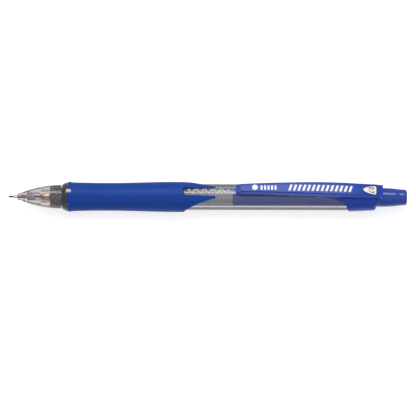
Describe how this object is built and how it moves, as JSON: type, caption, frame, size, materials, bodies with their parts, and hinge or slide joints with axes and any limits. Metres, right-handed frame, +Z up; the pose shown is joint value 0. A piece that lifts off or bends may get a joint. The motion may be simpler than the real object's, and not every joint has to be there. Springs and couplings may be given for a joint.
{
  "type": "mechanical pencil",
  "caption": "Push-button mechanical pencil with a see-through nose and barrel, a waisted rubber grip, a tinted cap with a pocket clip, and a slim push button.",
  "frame": {"origin": "middle of the pencil's length and width, at the height of the lowest line of the grip", "axes": "X along the pencil with the push button at +X and the lead's tip at -X, Z up through the clip, Y across"},
  "size_m": [0.147, 0.0112, 0.0142],
  "materials": {
    "lead": "graphite lead, dark and slightly glossy",
    "steel": "drawn stainless pipe",
    "smoky_plastic": "see-through, pinkish-grey smoke tint, polished",
    "retainer_rubber": "pale silicone rubber",
    "brass": "turned brass",
    "ring_brass": "bright turned brass",
    "seat_plastic": "dark moulded plastic",
    "spring_steel": "spring wire",
    "collar_plastic": "white moulded plastic",
    "tube_plastic": "see-through, faintly frosted",
    "clear_plastic": "see-through, light grey smoke tint, polished",
    "grip_rubber": "opaque blue rubber, satin",
    "sleeve_plastic": "see-through blue",
    "cap_plastic": "translucent blue, polished",
    "clip_plastic": "translucent blue, polished",
    "badge_white": "white with a dark rim and printed digits",
    "button_plastic": "opaque blue, polished",
    "eraser_vinyl": "white vinyl eraser",
    "ferrule_aluminium": "thin drawn aluminium"
  },
  "bodies": {
    "holder": {"barrel": "clear_plastic", "grip": "grip_rubber", "chuck_seat": "seat_plastic", "return_spring": "spring_steel", "inner_sleeve": "sleeve_plastic", "cap": "cap_plastic", "size_badge": "badge_white"},
    "clip": {"clip": "clip_plastic"},
    "point": {"lead_pipe": "steel", "lead_retainer": "retainer_rubber"},
    "nose": {"nose_cone": "smoky_plastic"},
    "ring": {"clutch_ring": "ring_brass"},
    "lead_unit": {"lead_tube": "tube_plastic", "chuck_collar": "collar_plastic", "lead_chuck": "brass", "eraser_ferrule": "ferrule_aluminium", "eraser": "eraser_vinyl"},
    "lead": {"lead_in_use": "lead"},
    "spares": {"spare_lead_1": "lead", "spare_lead_2": "lead", "spare_lead_3": "lead"},
    "button": {"push_button": "button_plastic"}
  },
  "joints": [
    {"name": "button_press", "type": "slide", "parent": "holder", "child": "lead_unit", "axis": [-1, 0, 0], "range_m": [0, 0.0019], "stiffness_N_per_m": 800, "springref_m": -0.002, "deforming": ["return_spring"]},
    {"name": "ring_slide", "type": "slide", "parent": "holder", "child": "ring", "axis": [-1, 0, 0], "range_m": [0, 0.001]},
    {"name": "lead_feed", "type": "slide", "parent": "lead_unit", "child": "lead", "axis": [-1, 0, 0], "range_m": [-0.0016, 0.01]},
    {"name": "spare_lead_slide", "type": "slide", "parent": "lead_unit", "child": "spares", "axis": [1, 0, 0], "range_m": [-0.0205, 0.002]},
    {"name": "button_pull", "type": "slide", "parent": "lead_unit", "child": "button", "axis": [1, 0, 0], "range_m": [0, 0.012]},
    {"name": "nose_slide", "type": "slide", "parent": "holder", "child": "point", "axis": [-1, 0, 0], "range_m": [0, 0.004]},
    {"name": "nose_turn", "type": "hinge", "parent": "point", "child": "nose", "pos_m": [-0.062, 0, 0.00557], "axis": [-1, 0, 0], "range_deg": [0, 1810]},
    {"name": "clip_flex", "type": "hinge", "parent": "holder", "child": "clip", "pos_m": [0.0394, 0, 0.01396], "axis": [0, 1, 0], "range_deg": [0, 3.5], "stiffness_Nm_per_rad": 1, "springref_deg": -1.72}
  ],
  "couplings": [
    {"joint": "ring_slide", "follows": "button_press", "ratio": 0.5},
    {"joint": "nose_turn", "follows": "nose_slide", "rad_per_m": 7854}
  ]
}
